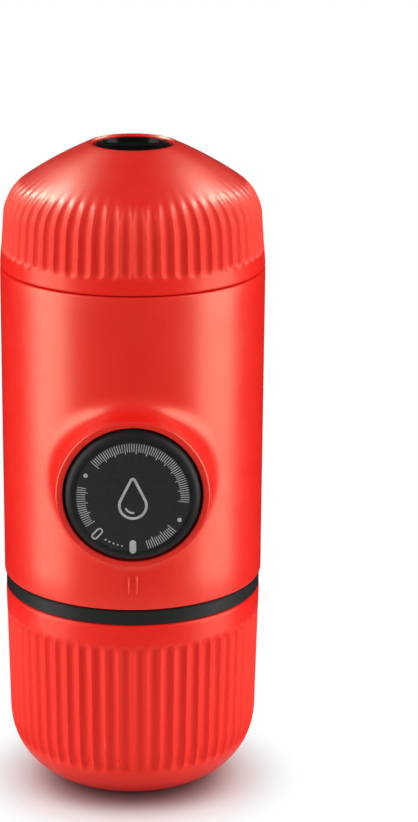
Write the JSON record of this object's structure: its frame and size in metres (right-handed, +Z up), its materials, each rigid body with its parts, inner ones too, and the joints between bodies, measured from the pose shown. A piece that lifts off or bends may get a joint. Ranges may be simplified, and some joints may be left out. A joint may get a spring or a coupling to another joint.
{
  "type": "handheld manual espresso maker",
  "caption": "Closed upright travel espresso maker: ribbed cup, ring, smooth body with a round push-and-turn pump knob, ribbed domed portafilter with a recessed outlet cap.",
  "frame": {"origin": "centre of the cup's flat base", "axes": "+Z up along the stacked pieces, -Y out of the knob's face, +X to the right seen from the knob side"},
  "size_m": [0.062, 0.071, 0.156],
  "materials": {
    "red_shell": "satin red-orange moulded plastic",
    "black_plastic": "fine-textured black moulded plastic",
    "dial_print": "charcoal disc with pale grey print",
    "gloss_black": "polished black plastic",
    "pump_plastic": "natural acetal",
    "silicone": "grey food-grade silicone",
    "stainless": "stainless steel"
  },
  "bodies": {
    "cup": {"espresso_cup": "red_shell"},
    "tank": {"water_tank": "black_plastic", "cup_grip_ring": "silicone"},
    "tank_gasket": {"tank_gasket": "silicone"},
    "main_body": {"body_shell": "red_shell", "tank_socket": "black_plastic", "inlet_strainer": "stainless", "inlet_tube": "pump_plastic", "inlet_valve": "silicone", "air_vent_valve": "silicone", "pump_cylinder": "pump_plastic", "knob_guide": "black_plastic", "return_spring": "stainless", "spacer_posts": "stainless", "deck_screws": "stainless", "group_head": "black_plastic", "group_screws": "stainless", "riser_tube": "pump_plastic", "shower_screen": "stainless", "screen_screw": "stainless", "group_gasket": "silicone", "outlet_valve_spring": "stainless"},
    "outlet_valve": {"outlet_valve_poppet": "pump_plastic"},
    "plunger": {"piston": "pump_plastic", "piston_seal": "silicone", "knob_screw": "stainless"},
    "knob": {"knob": "black_plastic", "dial_disc": "dial_print"},
    "scoop": {"coffee_scoop": "black_plastic"},
    "basket": {"filter_basket": "stainless"},
    "froth_valve": {"froth_valve": "silicone"},
    "portafilter": {"portafilter_shell": "red_shell", "portafilter_insert": "black_plastic", "outlet_nozzle": "gloss_black", "nozzle_seal": "silicone"},
    "outlet_cap": {"outlet_cap": "gloss_black"}
  },
  "joints": [
    {"name": "cup_lift", "type": "slide", "parent": "cup", "child": "tank", "axis": [0, 0, 1], "range_m": [0, 0.05]},
    {"name": "tank_rise", "type": "slide", "parent": "tank", "child": "tank_gasket", "axis": [0, 0, 1], "range_m": [0, 0.008]},
    {"name": "tank_turn", "type": "hinge", "parent": "tank_gasket", "child": "main_body", "pos_m": [0, 0, 0.0522], "axis": [0, 0, 1], "range_deg": [0, 360]},
    {"name": "pump_stroke", "type": "slide", "parent": "main_body", "child": "plunger", "axis": [0, -1, 0], "range_m": [0, 0.018], "deforming": ["return_spring"]},
    {"name": "knob_turn", "type": "hinge", "parent": "plunger", "child": "knob", "pos_m": [0, 0, 0.083], "axis": [0, -1, 0], "range_deg": [0, 43]},
    {"name": "outlet_valve_lift", "type": "slide", "parent": "main_body", "child": "outlet_valve", "axis": [0, 0, 1], "range_m": [0, 0.0008], "stiffness_N_per_m": 60, "springref_m": -0.002, "deforming": ["outlet_valve_spring"]},
    {"name": "scoop_lift", "type": "slide", "parent": "main_body", "child": "scoop", "axis": [0, 0, 1], "range_m": [0, 0.025]},
    {"name": "basket_lift", "type": "slide", "parent": "scoop", "child": "basket", "axis": [0, 0, 1], "range_m": [0, 0.025]},
    {"name": "portafilter_rise", "type": "slide", "parent": "basket", "child": "froth_valve", "axis": [0, 0, 1], "range_m": [0, 0.012]},
    {"name": "portafilter_turn", "type": "hinge", "parent": "froth_valve", "child": "portafilter", "pos_m": [0, 0, 0.127], "axis": [0, 0, 1], "range_deg": [0, 540]},
    {"name": "outlet_cap_pull", "type": "slide", "parent": "portafilter", "child": "outlet_cap", "axis": [0, 0, 1], "range_m": [0, 0.015]}
  ],
  "couplings": [
    {"joint": "tank_rise", "follows": "tank_turn", "m_per_rad": 0.0012732},
    {"joint": "portafilter_rise", "follows": "portafilter_turn", "m_per_rad": 0.0012732}
  ]
}
